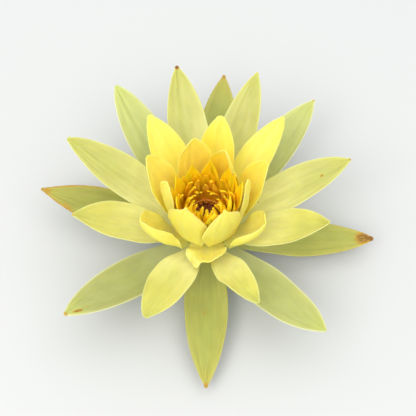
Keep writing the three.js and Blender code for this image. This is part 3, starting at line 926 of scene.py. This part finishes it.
def makeStigma(values, hornValues):
    foot = ovaryTop + seatGap
    rim = foot + values["height"]
    radius, rounding, drop = values["radius"], values["rounding"], values["edgeDrop"]
    dip, knob = values["dip"], values["knob"]
    turns = np.linspace(0, 2 * math.pi, values["sides"], endpoint=False)
    radii = np.linspace(values["hole"], radius - rounding, values["rings"])
    share = radii / radius
    depth = np.interp(share, [0, values["bend"], 1], [dip, dip * values["bend"], 0])
    onKnob = 1 - smooth(radii, *(knob["radius"] * reach for reach in knob["reach"]))
    wedge = np.abs(np.sin(turns * values["rays"] / 2))
    narrow = np.exp(-(wedge[None, :] * radii[:, None] / values["rayWidth"]) ** 2 / values["softness"])
    outward = smooth(radii, *values["rayStart"])[:, None]
    kept = 1 - values["rayLoss"] * smooth(share, *values["rayEnd"])
    ray = values["rayRise"] * narrow * outward * kept[:, None]
    top = rim - depth[:, None] + ((knob["height"] + dip) * onKnob)[:, None] + ray
    bend = np.linspace(0, rightAngle, 6)[1:]
    edgeRadius = np.concatenate([radius - rounding * (1 - np.sin(bend)), [radius] * 3])
    below = np.concatenate([rounding * (1 - np.cos(bend)), np.linspace(drop, values["height"], 3)])
    fading = np.clip(1 - below / drop, 0, 1)[:, None]
    edge = (top[-1][None, :] - rim) * fading + rim - below[:, None]
    heights = np.vstack([top, edge, np.full((2, len(turns)), foot)])
    lobes = 1 + values["lobes"] * np.cos(turns * values["rays"])[None, :]
    allRadii = np.concatenate([radii, edgeRadius, [radius * 0.5, values["hole"]]])[:, None]
    around = allRadii * np.where(allRadii > values["lobesFrom"], lobes, 1)
    points = np.stack([around * np.cos(turns), around * np.sin(turns), heights], -1).reshape(-1, 3)
    rows, sides = heights.shape
    faces = [tuple(range(sides)), tuple((rows - 1) * sides + k for k in range(sides))[::-1]]
    ridge = np.vstack([narrow * outward, np.zeros((rows - len(radii), sides))])
    flat = np.zeros_like(around)
    marks = {
        "along": np.clip(around / radius, 0, 1), "across": flat, "rim": flat, "outside": flat, "stain": ridge,
        "tone": flat + values["tone"], "anther": flat,
    }
    marks = {name: value.reshape(-1) for name, value in marks.items()}
    shapes = [{"points": points, "faces": faces + ringFaces(rows, sides), "lay": points, "marks": marks}]
    hornValues = {**usualBlade, **hornValues, "footHeight": rim - hornValues["sunk"]}
    for i in range(values["rays"]):
        blade = {**hornValues, "azimuth": i * 360 / values["rays"]}
        shapes.append(bladeShape(blade, hornGrid, values["hornSeed"] + i))
    return joinShapes(shapes)


stigmaLooks = {
    "dish": "6e2f16", "ridge": "d09040", "horn": "bc701e", "glow": "ecae3c", "patches": 1.3,
    "ridgeShare": 0.6, "glowShare": 0.5, "beads": 6, "cells": 5.0, "gloss": 0.4, "bump": 0.07,
    "bumpStrength": 0.9, "subsurface": 0.12, "radius": (1.0, 0.35, 0.15), "depth": 1.0,
}


def makeStigmaMaterial(looks):
    material, tree, shader = newMaterial("stigma_skin")
    lay = mark(tree, "lay", "Vector")
    patches = cloud(tree, lay, [looks["patches"]] * 3, detail=3.0)
    colour = mixColours(tree, fade(tree, patches, 0.3, 0.7), paint(looks["dish"]), paint(looks["horn"]))
    onRidge = times(tree, mark(tree, "stain"), looks["ridgeShare"])
    colour = mixColours(tree, onRidge, colour, paint(looks["ridge"]))
    onRim = times(tree, mark(tree, "rim"), looks["glowShare"])
    colour = mixColours(tree, onRim, colour, paint(looks["glow"]))
    place = stretched(tree, lay, [looks["beads"]] * 3)
    beads = addNode(tree, "TexVoronoi", {"Vector": place, "Scale": 1.0})
    skin = waxy(tree, looks, lay)
    dressShader(tree, shader, colour, skin["Roughness"], beads["Distance"], looks, invert=True)
    return material


stigmaSkin = makeStigmaMaterial(stigmaLooks)
makePiece("stigma_disc_fine", makeStigma(stigma, horn), stigmaSkin, ["stigma_disc"])
print("stigma made")

# Stalk and ovary: one lathed body with soft ribs, and four canals cut into the stalk's end.
receptacle = {
    "sides": 192, "ribs": 24, "ribRise": 0.1, "ribStart": (0.4, 3), "ribEnd": (ovaryTop - 2, ovaryTop - 0.2),
    "endRound": 0.35, "canalSides": 48, "sharpAngle": 40,
}


def makeCanalCutter(sides):
    drill = bmesh.new()
    radius, depth = stalk["canalRadius"] * mm, 2 * stalk["canalDepth"] * mm
    for i in range(stalk["canals"]):
        angle = (i + 0.5) * 2 * math.pi / stalk["canals"]
        made = bmesh.ops.create_cone(
            drill, cap_ends=True, segments=sides, radius1=radius, radius2=radius, depth=depth,
        )
        shift = Vector((math.cos(angle), math.sin(angle), 0)) * stalk["canalRing"] * mm
        bmesh.ops.translate(drill, verts=made["verts"], vec=shift)
    canals = bpy.data.meshes.new("canals")
    drill.to_mesh(canals)
    drill.free()
    return placed("canals", canals)


def makeReceptacle(values):
    radius, endRound = stalk["radius"], values["endRound"]
    rounding = [
        (radius - endRound * (1 - math.sin(t * rightAngle)), endRound * (1 - math.cos(t * rightAngle)))
        for t in np.linspace(0, 1, 5)
    ]
    inner = [(r, 0) for r in range(1, 5)]
    shaft = [(radius, z) for z in np.linspace(endRound, stalk["height"], 14)[1:-1]]
    wall = [(float(ovaryRadius(h)), stalk["height"] + h) for h in np.linspace(0, ovary["height"], 40)]
    lid = [(ovary["rimRadius"] - 0.4 - d, ovaryTop) for d in range(0, 8, 2)]
    shape = latheShape(inner + rounding + shaft + wall + lid, values["sides"], False)
    points = shape["points"]
    around = np.arctan2(points[:, 1], points[:, 0])
    height = points[:, 2]
    ribbed = smooth(height, *values["ribStart"]) * (1 - smooth(height, *values["ribEnd"]))
    slim = 1 - values["ribRise"] / radius * ribbed * (0.5 + 0.5 * np.cos(around * values["ribs"]))
    points[:, :2] *= slim[:, None]
    mesh = bpy.data.meshes.new("receptacle_fine")
    mesh.from_pydata((points * mm).tolist(), [], shape["faces"])
    body = placed("receptacle_fine", mesh)
    cut = body.modifiers.new("canals", "BOOLEAN")
    cut.operation = "DIFFERENCE"
    cut.solver = "EXACT"
    cut.object = makeCanalCutter(values["canalSides"])
    bpy.context.view_layer.update()
    finished = bpy.data.meshes.new_from_object(body.evaluated_get(bpy.context.evaluated_depsgraph_get()))
    bpy.data.objects.remove(cut.object)
    body.modifiers.clear()
    body.data = finished
    finished.name = "receptacle_fine"
    finished.shade_smooth()
    finished.set_sharp_from_angle(angle=math.radians(values["sharpAngle"]))
    return body


receptacleLooks = {
    "green": "8d9a45", "pale": "a3a857", "streak": "7a6a34", "cut": "cdcf9a", "streakShare": 0.6,
    "cutShare": 0.85, "flattening": 0.25, "cells": 3.0, "gloss": 0.5, "cellHeight": 0.3, "bump": 0.12,
    "subsurface": 0.2, "radius": (0.8, 1.0, 0.3), "depth": 1.5,
}


def makeReceptacleMaterial(looks):
    material, tree, shader = newMaterial("receptacle_skin")
    place = addNode(tree, "TexCoord", {})["Object"]
    lay = stretched(tree, place, (1 / mm, 1 / mm, looks["flattening"] / mm))
    height = addNode(tree, "SeparateXYZ", {0: place})[2]
    mottle = fade(tree, cloud(tree, lay, (0.5, 0.5, 0.5), detail=4.0, roughness=0.6), 0.3, 0.7)
    streaks = cloud(tree, lay, (2.2, 2.2, 0.6), detail=3.0)
    colour = mixColours(tree, mottle, paint(looks["green"]), paint(looks["pale"]))
    onStreak = fade(tree, streaks, 0.5, 0.72, 0.0, looks["streakShare"])
    colour = mixColours(tree, onStreak, colour, paint(looks["streak"]))
    onCut = fade(tree, height, 0.05 * mm, 0.4 * mm, looks["cutShare"], 0.0)
    colour = mixColours(tree, onCut, colour, paint(looks["cut"]))
    skin = waxy(tree, looks, lay)
    grain = maths(tree, "ADD", streaks, times(tree, skin["Height"], looks["cellHeight"]))
    dressShader(tree, shader, colour, skin["Roughness"], grain, looks)
    return material


receptaclePiece = makeReceptacle(receptacle)
receptaclePiece.data.materials.clear()
receptaclePiece.data.materials.append(makeReceptacleMaterial(receptacleLooks))
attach(receptaclePiece, "root")
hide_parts("receptacle")
print("receptacle made")

# A plain pale floor and a soft pale sky.
surroundings = {
    "floorWidth": 24.0, "floor": (0.56, 0.56, 0.545, 1), "floorRoughness": 0.75, "sky": (0.92, 0.95, 1.0, 1),
    "skyStrength": 1.0,
}


def makeSurroundings(values):
    half = values["floorWidth"] / 2
    corners = [(-half, -half, 0), (half, -half, 0), (half, half, 0), (-half, half, 0)]
    mesh = bpy.data.meshes.new("floor")
    mesh.from_pydata(corners, [], [(0, 1, 2, 3)])
    material, tree, shader = newMaterial("pale_floor")
    shader["Base Color"].default_value = values["floor"]
    shader["Roughness"].default_value = values["floorRoughness"]
    mesh.materials.append(material)
    floor = placed("floor", mesh)
    world = bpy.data.worlds.new("soft_sky")
    world.use_nodes = True
    scene.world = world
    background = world.node_tree.nodes["Background"].inputs
    background["Color"].default_value = values["sky"]
    background["Strength"].default_value = values["skyStrength"]


makeSurroundings(surroundings)
